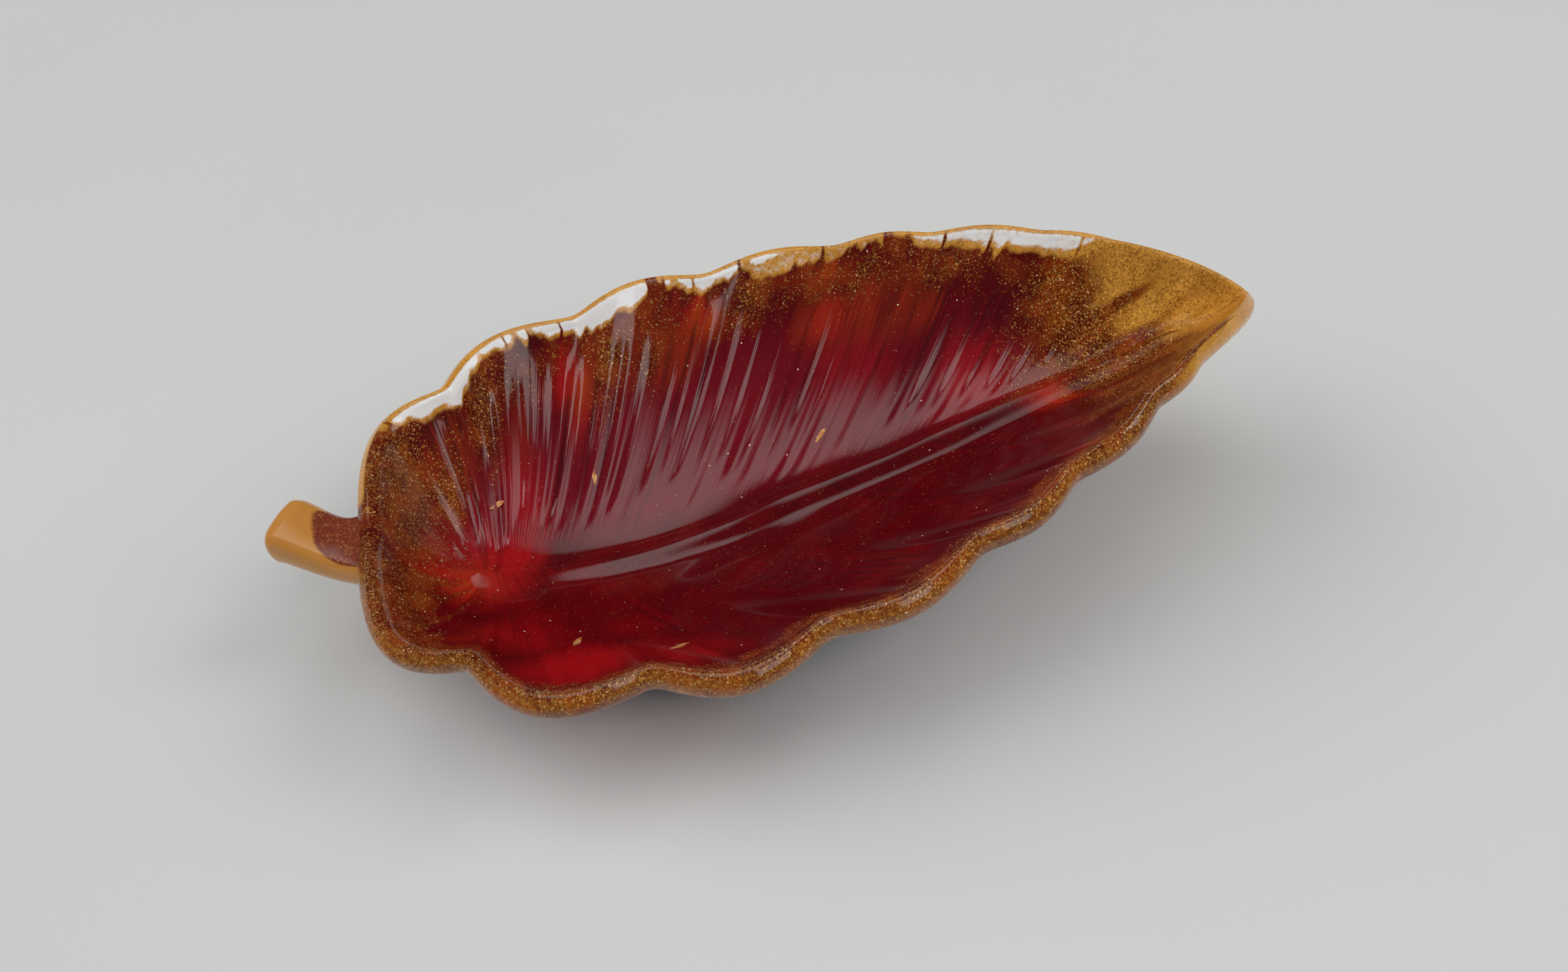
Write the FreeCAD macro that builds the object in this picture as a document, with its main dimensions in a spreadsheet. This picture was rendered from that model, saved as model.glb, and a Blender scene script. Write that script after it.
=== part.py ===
import FreeCAD, Part
import math
import os

import Sketcher

# Leaf-shaped ring dish, cast in coloured resin pours. Millimetres, +Z up.
# Stations run along the leaf from the stem joint (0) to the tip; +Y is the far side.
doc = FreeCAD.newDocument("ring_dish")
sheet = doc.addObject("Spreadsheet::Sheet", "dims")

sizes = [
    ("leaf_length", 140.0, "leaf from stem joint to tip"),
    ("half_width", 38.6, "widest half width across the notches"),
    ("tip_fullness", 0.86, "power of the taper to the tip"),
    ("lobe_1", 13.8, "length of the first lobe, against its fellows"),
    ("lobe_2", 23.2, "length of the second lobe, against its fellows"),
    ("lobe_3", 23.5, "length of the third lobe, against its fellows"),
    ("lobe_4", 22.0, "length of the fourth lobe, against its fellows"),
    ("lobe_5", 15.1, "length of the fifth lobe, against its fellows"),
    ("lobe_6", 15.6, "length of the sixth lobe, against its fellows"),
    ("lobe_7", 9.8, "length of the seventh lobe, against its fellows"),
    ("lobe_8", 17.0, "length of the tip lobe, against its fellows"),
    ("bulge_1", 3.8, "bulge of the first lobe past the notch line"),
    ("bulge_2", 4.3, "bulge of the second lobe"),
    ("bulge_3", 3.8, "bulge of the third lobe"),
    ("bulge_4", 2.7, "bulge of the fourth lobe"),
    ("bulge_5", 1.9, "bulge of the fifth lobe"),
    ("bulge_6", 1.6, "bulge of the sixth lobe"),
    ("bulge_7", 0.7, "bulge of the seventh lobe"),
    ("bulge_8", 0.8, "bulge of the tip lobe"),
    ("rim_low", 24.9, "rim height at the stem end"),
    ("rim_rise", 10.3, "rise of the rim to its peak"),
    ("rim_peak_back", 23.0, "rim peak before the tip"),
    ("stem_dip", 1.5, "drop of the rim at the stem"),
    ("stem_dip_reach", 7.0, "half width of that drop"),
    ("floor_skin", 1.2, "red pour under the lowest floor"),
    ("floor_low_at", 37.0, "station of the lowest floor"),
    ("floor_rise_stem", 14.8, "climb of the floor to the stem joint"),
    ("tip_depth", 4.6, "floor below the inner rim edge at the tip"),
    ("floor_ease", 15.0, "length over which the floor starts to climb to the tip"),
    ("rib_height", 1.2, "midrib above the floor"),
    ("rib_half_width", 3.2, "half width of the midrib"),
    ("rib_start", 14.0, "station where the vein fan starts"),
    ("rib_end", 13.4, "end of the vein fan before the tip"),
    ("vein_step", 0.6, "least spread of the veins along the midrib"),
    ("rib_ease", 6.0, "room kept between the wall and the midrib at the tip"),
    ("wall_bow", 1.85, "power of the wall curve"),
    ("rim_thickness", 3.6, "rim width across the crest"),
    ("crest_round", 0.5, "fall of the crest to its sides"),
    ("inner_edge", 1.2, "inner rim edge below the crest"),
    ("lip_height", 3.0, "outer lip below the crest"),
    ("lip_lean", 0.1, "lean of the lip"),
    ("lip_tuck", 1.5, "skirt set in under the lip"),
    ("lip_turn", 1.2, "height of the turn under the lip"),
    ("base_stem_reach", 37.1, "flat base from the widest station to the stem side"),
    ("base_tip_reach", 53.1, "flat base from the widest station to the tip side"),
    ("base_half_width", 23.9, "flat base, half width"),
    ("base_level", 2.2, "top of the base pour"),
    ("rim_pour", 16.6, "rim pours from the rim peak down to their level underside"),
    ("clear_depth", 3.6, "clear edge below the far rim crest"),
    ("tip_span", 19.0, "length of the amber tip"),
    ("stem_run", 12.8, "stem reach before the joint"),
    ("stem_mid_at", 2.8, "stem part way before the joint"),
    ("stem_root_drop", 3.6, "stem centre inside the rim, below the rim at the joint"),
    ("stem_mid_drop", 3.2, "stem centre part way, below the rim at the joint"),
    ("stem_end_drop", 0.7, "stem centre at its end, below the rim at the joint"),
    ("stem_mid_side", 1.3, "stem centre part way, to the far side"),
    ("stem_end_side", 4.5, "stem centre before its straight end, to the far side"),
    ("stem_root_lean", -22.0, "lean of the stem's section inside the rim, in degrees"),
    ("stem_mid_swing", 15.0, "swing of the stem part way, in degrees"),
    ("stem_end_swing", 30.0, "swing of the stem's end, in degrees"),
    ("stem_root_width", 15.0, "stem width inside the rim"),
    ("stem_root_depth", 5.3, "stem depth inside the rim"),
    ("stem_mid_width", 10.0, "stem width part way"),
    ("stem_mid_depth", 5.8, "stem depth part way"),
    ("stem_end_width", 9.3, "stem width at its end"),
    ("stem_end_depth", 6.7, "stem depth at its end"),
    ("stem_corner", 2.6, "stem corner radius"),
    ("stem_end_run", 2.6, "straight length at the stem's end"),
    ("stem_end_round", 1.6, "rounding of the stem end"),
    ("stem_tuck", 3.4, "stem length tucked into the rim"),
    ("flake_length", 3.2, "metal flake length"),
    ("flake_width", 0.9, "metal flake width"),
    ("flake_thickness", 0.35, "metal flake thickness"),
    ("flake_proud", 0.06, "metal flake above the resin"),
]
for row, (alias, value, note) in enumerate(sizes, 1):
    sheet.set("A%d" % row, note)
    sheet.set("B%d" % row, str(value))
    sheet.setAlias("B%d" % row, alias)
doc.recompute()


def dim(name):
    return float(sheet.get(name))


length = dim("leaf_length")
tipPower = dim("tip_fullness")
peakShare = 0.5 / (0.5 + tipPower)
widthFactor = dim("half_width") / (math.sqrt(peakShare) * (1 - peakShare) ** tipPower)
originStation = (length - dim("stem_run")) / 2
floorLow = dim("base_level") + dim("floor_skin")
lobes = [dim("lobe_%d" % k) for k in range(1, 9)]
notches = [length * sum(lobes[:k]) / sum(lobes) for k in range(len(lobes))] + [length]
bulges = [dim("bulge_%d" % k) for k in range(1, 9)]
stepsPerLobe = 8
lobeRoundness = 0.85
floorPower = 2.4
wallSteps = (0, 0.03, 0.06, 0.09, 0.13, 0.2, 0.3, 0.42, 0.55, 0.68, 0.8, 0.9, 1)
# crest of the rim: shares of its thickness inward, and of its rounding down
crest = ((0.76, 0.84), (0.5, 0.0), (0.22, 1.0))
lipMiddle = 0.46
skirtSteps = (0.3, 0.65, 1.0)


def sweepOf(station):
    return 2 / math.pi * math.asin(math.sqrt(station / length))


def notchLine(p):
    # smooth half outline through the notches: half width as root(t) times (1 - t) to a power
    t = math.sin(math.pi * p / 2) ** 2
    return length * t, widthFactor * math.sqrt(t) * (1 - t) ** tipPower


def outward(p):
    if p <= 0:
        return -1.0, 0.0
    if p >= 1:
        return 1.0, 0.0
    reach = min(1e-3, p, 1 - p)
    (x1, y1), (x2, y2) = notchLine(p - reach), notchLine(p + reach)
    run = math.hypot(x2 - x1, y2 - y1)
    return -(y2 - y1) / run, (x2 - x1) / run


def shifted(p, out):
    # a point set out from the notch line, or in from it without crossing the midrib
    x, y = notchLine(p)
    nx, ny = outward(p)
    if out < 0 < y:
        inward = -out * ny
        return x + out * nx, y * (1 - inward / (y + inward + dim("rib_ease")))
    return x + out * nx, y + out * ny


def lobeAt(p):
    for k, bulge in enumerate(bulges):
        first, last = sweepOf(notches[k]), sweepOf(notches[k + 1])
        if p <= last:
            share = min(max((p - first) / (last - first), 0), 1)
            arch = math.sin(math.pi * (share * share if k == 0 else share))
            return bulge * arch * (lobeRoundness + (1 - lobeRoundness) * arch)
    return 0.0


def rimHeight(p):
    x, y = notchLine(p)
    q = (x / (length - dim("rim_peak_back"))) ** 3
    drop = dim("stem_dip") * math.exp(-((y / dim("stem_dip_reach")) ** 2))
    if x > length / 2:
        drop = 0.0
    return dim("rim_low") + dim("rim_rise") * (1 - (1 - q) ** 2) - drop


def ribFoot(p):
    # veins leave the midrib ever wider apart towards the tip
    x, y = notchLine(p)
    run = length - dim("rib_start") - dim("rib_end") - dim("vein_step")
    return dim("rib_start") + run * (x / length) ** 2 + dim("vein_step") * p


def climb(d):
    return d * d / (d + dim("floor_ease"))


def floorHeight(x):
    # the floor climbs from its lowest station to the stem, and to the groove's end at the tip
    d = x - dim("floor_low_at")
    if d < 0:
        return floorLow + dim("floor_rise_stem") * (-d / dim("floor_low_at")) ** floorPower
    grooveEnd = rimHeight(1) - dim("inner_edge") - dim("tip_depth")
    return floorLow + (grooveEnd - floorLow) * climb(d) / climb(ribFoot(1) - dim("floor_low_at"))


def wallPoint(p, s):
    # inner face: from the midrib (s = 0) along the vein to the inner rim edge (s = 1)
    x, y = shifted(p, lobeAt(p) * s - dim("rim_thickness"))
    foot = ribFoot(p)
    px = foot + (x - foot) * s
    py = y * s
    low = floorHeight(foot)
    z = low + (rimHeight(p) - dim("inner_edge") - low) * s ** dim("wall_bow")
    across = min(1.0, py / dim("rib_half_width"))
    z += dim("rib_height") * (1 - across ** 2) ** 2 * (1 - s)
    return FreeCAD.Vector(px, py, z)


def rimPoint(p, inward, drop):
    x, y = shifted(p, lobeAt(p) - inward)
    return FreeCAD.Vector(x, y, rimHeight(p) - drop)


def basePoint(p):
    x, y = notchLine(p)
    widest = length * peakShare
    toStem = dim("base_stem_reach") / widest
    toTip = dim("base_tip_reach") / (length - widest)
    scale = toStem if x < widest else toTip
    across = dim("base_half_width") / dim("half_width")
    return FreeCAD.Vector(widest + scale * (x - widest), across * y, 0)


def profile(p):
    rim, crestRound = dim("rim_thickness"), dim("crest_round")
    lip, turn = dim("lip_height"), dim("lip_turn")
    points = [wallPoint(p, s) for s in wallSteps]
    points += [rimPoint(p, inward * rim, down * crestRound) for inward, down in crest]
    points += [rimPoint(p, 0, lipMiddle * lip), rimPoint(p, dim("lip_lean"), lip)]
    points += [rimPoint(p, dim("lip_tuck"), lip + turn)]
    skirt, base = points[-1], basePoint(p)
    points += [skirt + (base - skirt) * share for share in skirtSteps]
    if p <= 0 or p >= 1:
        points = [FreeCAD.Vector(v.x, 0, v.z) for v in points]
    return points


def lobeSteps():
    steps = []
    for k in range(len(bulges)):
        first, last = sweepOf(notches[k]), sweepOf(notches[k + 1])
        steps += [first + (last - first) * i / stepsPerLobe for i in range(stepsPerLobe)]
    return steps + [1.0]


def atOrigin(v):
    return FreeCAD.Vector(v.x - originStation, v.y, v.z)


def runs(points):
    total = [0.0]
    for before, after in zip(points, points[1:]):
        total.append(total[-1] + (after - before).Length)
    return [value / total[-1] for value in total]


def fitted(points, stations):
    curve = Part.BSplineCurve()
    curve.interpolate(Points=points, Parameters=stations)
    return curve


def skinOver(grid):
    # one smooth face through the grid: rows first, then their poles, on shared stations
    along = runs([column[len(wallSteps)] for column in grid])
    across = runs(grid[len(grid) // 2])
    rows = [fitted([column[j] for column in grid], along) for j in range(len(grid[0]))]
    poles = []
    for i in range(rows[0].NbPoles):
        column = fitted([row.getPole(i + 1) for row in rows], across)
        poles.append(column.getPoles())
    surface = Part.BSplineSurface()
    surface.buildFromPolesMultsKnots(
        poles, rows[0].getMultiplicities(), column.getMultiplicities(),
        rows[0].getKnots(), column.getKnots(), False, False, rows[0].Degree, column.Degree)
    # faces part at the notches and along the rim edges
    lengthwise = along[::stepsPerLobe]
    crosswise = [across[k] for k in (0, len(wallSteps) - 1, len(wallSteps) + len(crest) + 1, -1)]
    faces = []
    for u1, u2 in zip(lengthwise, lengthwise[1:]):
        for v1, v2 in zip(crosswise, crosswise[1:]):
            patch = surface.copy()
            patch.segment(u1, u2, v1, v2)
            faces.append(patch.toShape())
    return faces


def flatEdges(faces, axis):
    kept = []
    for face in faces:
        for edge in face.Edges:
            spots = edge.discretize(5)
            if max(abs(spot[axis]) for spot in spots) < 1e-6:
                kept.append(edge)
    return kept


def halfLeaf():
    grid = [[atOrigin(v) for v in profile(p)] for p in lobeSteps()]
    faces = skinOver(grid)
    onAxis = flatEdges(faces, 1)
    onBase = flatEdges(faces, 2)
    near, far = grid[0][-1], grid[-1][-1]
    chord = Part.makeLine(near, far)
    bottom = Part.Face(Part.Wire(Part.__sortEdges__(onBase + [chord])))
    middle = Part.Face(Part.Wire(Part.__sortEdges__(onAxis + [chord])))
    shell = Part.Shell(faces + [bottom, middle])
    shell.sewShape()
    solid = Part.Solid(shell)
    if solid.Volume < 0:
        solid.reverse()
    return solid


half = doc.addObject("Part::Feature", "half_leaf")
half.Shape = halfLeaf()
mirror = doc.addObject("Part::Mirroring", "half_leaf_mirrored")
mirror.Source = half
mirror.Normal = (0, 1, 0)
blank = doc.addObject("Part::Fuse", "leaf_blank")
blank.Base = half
blank.Tool = mirror
blank.Refine = True


def bind(thing, **expressions):
    for name, text in expressions.items():
        thing.setExpression(name.replace("_", "."), text)


def block(name, x, y, z, run, width, height):
    # a pour's share of the mould: corner and sizes as expressions of the sheet
    box = doc.addObject("Part::Box", name)
    bind(box, Length=run, Width=width, Height=height)
    bind(box, Placement_Base_x=x, Placement_Base_y=y, Placement_Base_z=z)
    return box


def pour(name, share):
    piece = doc.addObject("Part::Common", name)
    piece.Base = blank
    piece.Tool = share
    return piece


nearEnd = "-dims.leaf_length"
farRun = "2 * dims.leaf_length"
side = "2 * dims.half_width"
wide = "4 * dims.half_width"
tall = "2 * (dims.rim_low + dims.rim_rise)"
originAt = "(dims.leaf_length - dims.stem_run) / 2"
tipStart = "dims.leaf_length - dims.tip_span - " + originAt
toTip = "dims.leaf_length + " + tipStart
rimLevel = "dims.rim_low + dims.rim_rise - dims.rim_pour"
bowlDepth = rimLevel + " - dims.base_level"
baseShare = block("base_share", nearEnd, "-" + side, "-1", farRun, wide, "dims.base_level + 1")
bowlShare = block("bowl_share", nearEnd, "-" + side, "dims.base_level", farRun, wide, bowlDepth)
tipShare = block("tip_share", tipStart, "-" + side, rimLevel, "dims.leaf_length", wide, tall)
frontShare = block("front_share", nearEnd, "-" + side, rimLevel, toTip, side, tall)
backShare = block("back_share", nearEnd, "0", rimLevel, toTip, side, tall)
basePour = pour("base_slab", baseShare)
bowlPour = pour("bowl_blank", bowlShare)
tipPour = pour("amber_tip", tipShare)
frontPour = pour("gold_rim_front", frontShare)
backPour = pour("back_blank", backShare)


def clearShare():
    # everything above a line that follows the far rim at the clear depth
    depth = dim("clear_depth")
    line = [FreeCAD.Vector(notchLine(p)[0], 0, rimHeight(p) - depth) for p in lobeSteps()]
    line = [FreeCAD.Vector(-length / 4, 0, line[0].z)] + line[1:]
    line = [atOrigin(v) for v in line]
    top = 2 * (dim("rim_low") + dim("rim_rise"))
    curve = Part.BSplineCurve()
    curve.interpolate(line)
    first, last = line[0], line[-1]
    corners = [last, FreeCAD.Vector(last.x, 0, top), FreeCAD.Vector(first.x, 0, top), first]
    edges = [curve.toShape()] + [Part.makeLine(a, b) for a, b in zip(corners, corners[1:])]
    return Part.Face(Part.Wire(edges)).extrude(FreeCAD.Vector(0, 2 * dim("half_width"), 0))


edgeShare = doc.addObject("Part::Feature", "clear_share")
edgeShare.Shape = clearShare()
clearEdge = doc.addObject("Part::Common", "clear_edge_back")
clearEdge.Base = backPour
clearEdge.Tool = edgeShare
goldBack = doc.addObject("Part::Cut", "gold_rim_back")
goldBack.Base = backPour
goldBack.Tool = edgeShare


def stemSection(body, name, width, depth, corner, place, axis, angle):
    # a rounded rectangle, turned about its own level or upright axis; place is station, side and height
    sketch = body.newObject("Sketcher::SketchObject", name)
    plane = [f for f in body.Origin.OriginFeatures if f.Role == "YZ_Plane"][0]
    sketch.AttachmentSupport = [(plane, "")]
    sketch.MapMode = "FlatFace"
    up = FreeCAD.Vector(0, 0, 1)
    a, b, r = dim(width) / 2, dim(depth) / 2, dim(corner)
    corners = [(-a + r, b), (a - r, b), (a, b - r), (a, -b + r),
               (a - r, -b), (-a + r, -b), (-a, -b + r), (-a, b - r)]
    ends = [FreeCAD.Vector(x, y, 0) for x, y in corners]
    for k in range(0, 8, 2):
        sketch.addGeometry(Part.LineSegment(ends[k], ends[k + 1]), False)
    for k, (sx, sy) in enumerate(((1, 1), (1, -1), (-1, -1), (-1, 1))):
        centre = FreeCAD.Vector(sx * (a - r), sy * (b - r), 0)
        first = (0, -math.pi / 2, math.pi, math.pi / 2)[k]
        circle = Part.Circle(centre, up, r)
        sketch.addGeometry(Part.ArcOfCircle(circle, first, first + math.pi / 2), False)
    for k in range(4):
        arc, after = 4 + k, (k + 1) % 4
        sketch.addConstraint(Sketcher.Constraint("Tangent", k, 2, arc, 2))
        sketch.addConstraint(Sketcher.Constraint("Tangent", after, 1, arc, 1))
        if k:
            sketch.addConstraint(Sketcher.Constraint("Equal", 4, arc))
    sketch.addConstraint(Sketcher.Constraint("Horizontal", 0))
    sketch.addConstraint(Sketcher.Constraint("Symmetric", 4, 3, 6, 3, -1, 1))
    acrossSides = Sketcher.Constraint("DistanceX", 3, 1, 1, 1, 2 * a)
    topToBottom = Sketcher.Constraint("DistanceY", 2, 1, 0, 1, 2 * b)
    cornerRadius = Sketcher.Constraint("Radius", 4, r)
    for label, rule in (("width", acrossSides), ("depth", topToBottom), ("corner", cornerRadius)):
        sketch.renameConstraint(sketch.addConstraint(rule), label)
    for label, alias in (("width", width), ("depth", depth), ("corner", corner)):
        sketch.setExpression("Constraints." + label, "dims." + alias)
    station, across, height = place
    sketch.AttachmentOffset = FreeCAD.Placement(FreeCAD.Vector(0, 0, 0), FreeCAD.Rotation(axis, dim(angle)))
    bind(sketch, AttachmentOffset_Base_x=across, AttachmentOffset_Base_y=height,
         AttachmentOffset_Base_z=station + " - " + originAt,
         AttachmentOffset_Rotation_Angle="dims.%s * 1 deg" % angle)
    return sketch


# the stem leaves the rim, then swings level to the far side
jointRim = "dims.rim_low - dims.stem_dip"
levelAxis, uprightAxis = FreeCAD.Vector(1, 0, 0), FreeCAD.Vector(0, -1, 0)
# the near edge of the turned, rounded end reaches past the middle of its face by this much
endPast = ("(dims.stem_end_width / 2 - dims.stem_end_round) * sin(dims.stem_end_swing * 1 deg)"
           " + dims.stem_end_round * (1 - cos(dims.stem_end_swing * 1 deg))")
endBack = "dims.stem_end_run * cos(dims.stem_end_swing * 1 deg)"
rootPlace = ("dims.stem_tuck", "0", jointRim + " - dims.stem_root_drop")
midPlace = ("-dims.stem_mid_at", "dims.stem_mid_side", jointRim + " - dims.stem_mid_drop")
endPlace = (endBack + " + " + endPast + " - dims.stem_run", "dims.stem_end_side",
            jointRim + " - dims.stem_end_drop")
stemBody = doc.addObject("PartDesign::Body", "stem_bar")
rootSection = stemSection(stemBody, "stem_root", "stem_root_width", "stem_root_depth", "stem_corner",
                          rootPlace, levelAxis, "stem_root_lean")
midSection = stemSection(stemBody, "stem_middle", "stem_mid_width", "stem_mid_depth", "stem_corner",
                         midPlace, uprightAxis, "stem_mid_swing")
endSection = stemSection(stemBody, "stem_end", "stem_end_width", "stem_end_depth", "stem_corner",
                         endPlace, uprightAxis, "stem_end_swing")
doc.recompute()
stemLoft = stemBody.newObject("PartDesign::AdditiveLoft", "stem_loft")
stemLoft.Profile = rootSection
stemLoft.Sections = [midSection, endSection]
stemPad = stemBody.newObject("PartDesign::Pad", "stem_straight")
stemPad.Profile = endSection
stemPad.Reversed = True
bind(stemPad, Length="dims.stem_end_run")
doc.recompute()
swing = math.radians(dim("stem_end_swing"))
outAlong = FreeCAD.Vector(-math.cos(swing), math.sin(swing), 0)
endFace = max(stemPad.Shape.Faces, key=lambda face: face.CenterOfMass.dot(outAlong))
endEdges = ["Edge%d" % (k + 1) for k, edge in enumerate(stemPad.Shape.Edges)
            if any(edge.isSame(other) for other in endFace.Edges)]
stemRound = stemBody.newObject("PartDesign::Fillet", "stem_round")
stemRound.Base = (stemPad, endEdges)
bind(stemRound, Radius="dims.stem_end_round")
doc.recompute()
stem = doc.addObject("Part::Cut", "amber_stem")
stem.Base = stemBody
stem.Tool = blank

# flakes of metal leaf lie in the inner face: sweep, way up the wall, side, turn in degrees
flakes = []
flakePlaces = (
    (0.246, 0.412, 1, 20),
    (0.388, 0.407, 1, 80),
    (0.6, 0.342, 1, 30),
    (0.318, 0.578, -1, 60),
    (0.393, 0.72, -1, 10),
)
for number, (p, s, sideSign, turn) in enumerate(flakePlaces, 1):
    here = wallPoint(p, s)
    along = wallPoint(p + 0.01, s) - here
    upWall = wallPoint(p, s + 0.02) - here
    normal = along.cross(upWall)
    normal.normalize()
    normal = FreeCAD.Vector(normal.x, normal.y * sideSign, normal.z)
    spot = atOrigin(FreeCAD.Vector(here.x, here.y * sideSign, here.z))
    turned = FreeCAD.Rotation(FreeCAD.Vector(0, 0, 1), normal).multiply(
        FreeCAD.Rotation(FreeCAD.Vector(0, 0, 1), turn))
    flake = doc.addObject("Part::Box", "metal_flake_%d" % number)
    bind(flake, Length="dims.flake_length", Width="dims.flake_width", Height="dims.flake_thickness")
    corner = FreeCAD.Vector(
        -dim("flake_length") / 2, -dim("flake_width") / 2, dim("flake_proud") - dim("flake_thickness"))
    flake.Placement = FreeCAD.Placement(spot + turned.multVec(corner), turned)
    flakes.append(flake)
allFlakes = doc.addObject("Part::MultiFuse", "all_flakes")
allFlakes.Shapes = flakes
bowl = doc.addObject("Part::Cut", "red_bowl")
bowl.Base = bowlPour
bowl.Tool = allFlakes
doc.recompute()

pieces = [bowl, basePour, frontPour, goldBack, clearEdge, tipPour, stem] + flakes
for thing in doc.Objects:
    if "Invalid" in thing.State or "Error" in thing.State:
        raise RuntimeError("%s is not sound: %s" % (thing.Name, thing.State))
os.makedirs("parts", exist_ok=True)
for piece in pieces:
    piece.Label = piece.Name
    shape = piece.Shape
    if shape.isNull() or not shape.isValid() or len(shape.Solids) != 1:
        raise RuntimeError("%s is not one sound solid: %d" % (piece.Name, len(shape.Solids)))
    print(piece.Label, round(shape.Volume, 2), shape.BoundBox)
    shape.exportStep("parts/%s.step" % piece.Label)
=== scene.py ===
import math
from functools import partial

import bmesh
import bpy
import numpy as np
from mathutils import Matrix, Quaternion, Vector


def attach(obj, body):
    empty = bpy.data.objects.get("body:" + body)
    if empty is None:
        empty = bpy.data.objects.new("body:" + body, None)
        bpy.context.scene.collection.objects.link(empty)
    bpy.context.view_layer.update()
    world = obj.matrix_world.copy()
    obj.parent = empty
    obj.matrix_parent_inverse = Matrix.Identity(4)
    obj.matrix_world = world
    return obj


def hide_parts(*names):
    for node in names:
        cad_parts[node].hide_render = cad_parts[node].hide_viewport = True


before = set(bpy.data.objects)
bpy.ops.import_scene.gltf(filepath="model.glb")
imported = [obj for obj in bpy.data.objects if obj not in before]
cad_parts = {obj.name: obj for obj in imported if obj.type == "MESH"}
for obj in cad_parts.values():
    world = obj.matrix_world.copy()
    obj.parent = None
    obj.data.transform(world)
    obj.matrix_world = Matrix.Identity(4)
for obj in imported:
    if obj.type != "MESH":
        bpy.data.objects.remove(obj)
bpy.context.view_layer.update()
mm = 0.001

# Leaf in millimetres: stations run from the stem joint (0) to the tip, +Y is the far side
# and the base stands at z = 0.
leaf = dict(
    length=140.0, halfWidth=38.6, tipPower=0.86,           # outline through the notches
    lobes=(13.8, 23.2, 23.5, 22.0, 15.1, 15.6, 9.8, 17.0),
    bulges=(3.8, 4.3, 3.8, 2.7, 1.9, 1.6, 0.7, 0.8),       # how far each lobe stands past its notches
    lobeRoundness=0.85, notchSoftness=0.012,
    rimLow=24.9, rimRise=10.3, rimPeakBack=23.0, stemDip=1.5, stemDipReach=7.0,
    floorLow=3.4, floorLowAt=37.0, floorRise=14.8, floorPower=2.4, floorEase=15.0, tipDepth=4.6,
    ribHeight=1.2, ribHalfWidth=3.2, ribStart=14.0, ribEnd=13.4, veinStep=0.6, ribEase=6.0,
    wallBow=1.85, rimThickness=3.6, innerEdge=1.2,
    baseStemReach=37.1, baseTipReach=53.1, baseHalfWidth=23.9,
    baseLevel=2.2, rimLevel=18.6, clearDepth=3.6, tipSpan=19.0, stemRun=12.8,
)
originStation = (leaf["length"] - leaf["stemRun"]) / 2
peakShare = 0.5 / (0.5 + leaf["tipPower"])
widthFactor = leaf["halfWidth"] / (math.sqrt(peakShare) * (1 - peakShare) ** leaf["tipPower"])
notchStations = leaf["length"] * np.cumsum((0,) + leaf["lobes"]) / sum(leaf["lobes"])
notchSweeps = 2 / np.pi * np.arcsin(np.sqrt(np.clip(notchStations / leaf["length"], 0, 1)))


def eased(low, high, value):
    # 0 below low, 1 above high, with an S curve between
    share = np.clip((value - low) / (high - low), 0, 1)
    return share * share * (3 - 2 * share)


def drift(u, v, seed):
    # smooth drift from 0 to 1: seeded random values on a unit grid, eased between its corners
    count = 128
    grid = np.random.default_rng(seed).random((count, count))
    i, j = np.floor(u).astype(int), np.floor(v).astype(int)
    a, b = eased(0, 1, u - i), eased(0, 1, v - j)
    near = grid[i % count, j % count] * (1 - b) + grid[i % count, (j + 1) % count] * b
    far = grid[(i + 1) % count, j % count] * (1 - b) + grid[(i + 1) % count, (j + 1) % count] * b
    return near * (1 - a) + far * a


def notchLine(p):
    # half outline through the notches: half width as root(t) times (1 - t) to a power,
    # with t the squared sine of the sweep
    t = np.sin(np.pi * p / 2) ** 2
    return leaf["length"] * t, widthFactor * np.sqrt(t) * np.clip(1 - t, 0, 1) ** leaf["tipPower"]


def outward(p):
    # unit normal of that outline in plan
    reach = np.clip(np.minimum(p, 1 - p), 1e-6, 1e-3)
    x1, y1 = notchLine(np.clip(p - reach, 0, 1))
    x2, y2 = notchLine(np.clip(p + reach, 0, 1))
    run = np.hypot(x2 - x1, y2 - y1)
    nx = np.where(p <= 0, -1, np.where(p >= 1, 1, (y1 - y2) / run))
    ny = np.where((p <= 0) | (p >= 1), 0, (x2 - x1) / run)
    return nx, ny


def lobeArch(p):
    # each lobe bulges past the notch line as a sine arch between its two notches
    k = np.clip(np.searchsorted(notchSweeps, p) - 1, 0, len(leaf["lobes"]) - 1)
    share = np.clip((p - notchSweeps[k]) / (notchSweeps[k + 1] - notchSweeps[k]), 0, 1)
    arch = np.sin(np.pi * np.where(k == 0, share * share, share))
    return np.array(leaf["bulges"])[k] * arch * (leaf["lobeRoundness"] + (1 - leaf["lobeRoundness"]) * arch)


sweepCount = 4001
fineSweeps = np.linspace(0, 1, sweepCount)
softKernel = np.hanning(round(leaf["notchSoftness"] * 2 * (sweepCount - 1)) | 1)
softPad = len(softKernel) // 2
hardLobes = np.pad(lobeArch(fineSweeps), softPad, mode="reflect")
softLobes = np.convolve(hardLobes, softKernel / softKernel.sum(), "valid")


def lobeAt(p):
    # the lobes with their notches softened by a running mean
    return np.interp(p, fineSweeps, softLobes)


def shifted(p, out):
    # a point set out from the notch line, or in from it without crossing the midrib
    x, y = notchLine(p)
    nx, ny = outward(p)
    inward = -out * ny
    drawnIn = y * (1 - inward / (y + inward + leaf["ribEase"]))
    return x + out * nx, np.where(out < 0, drawnIn, y + out * ny)


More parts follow.
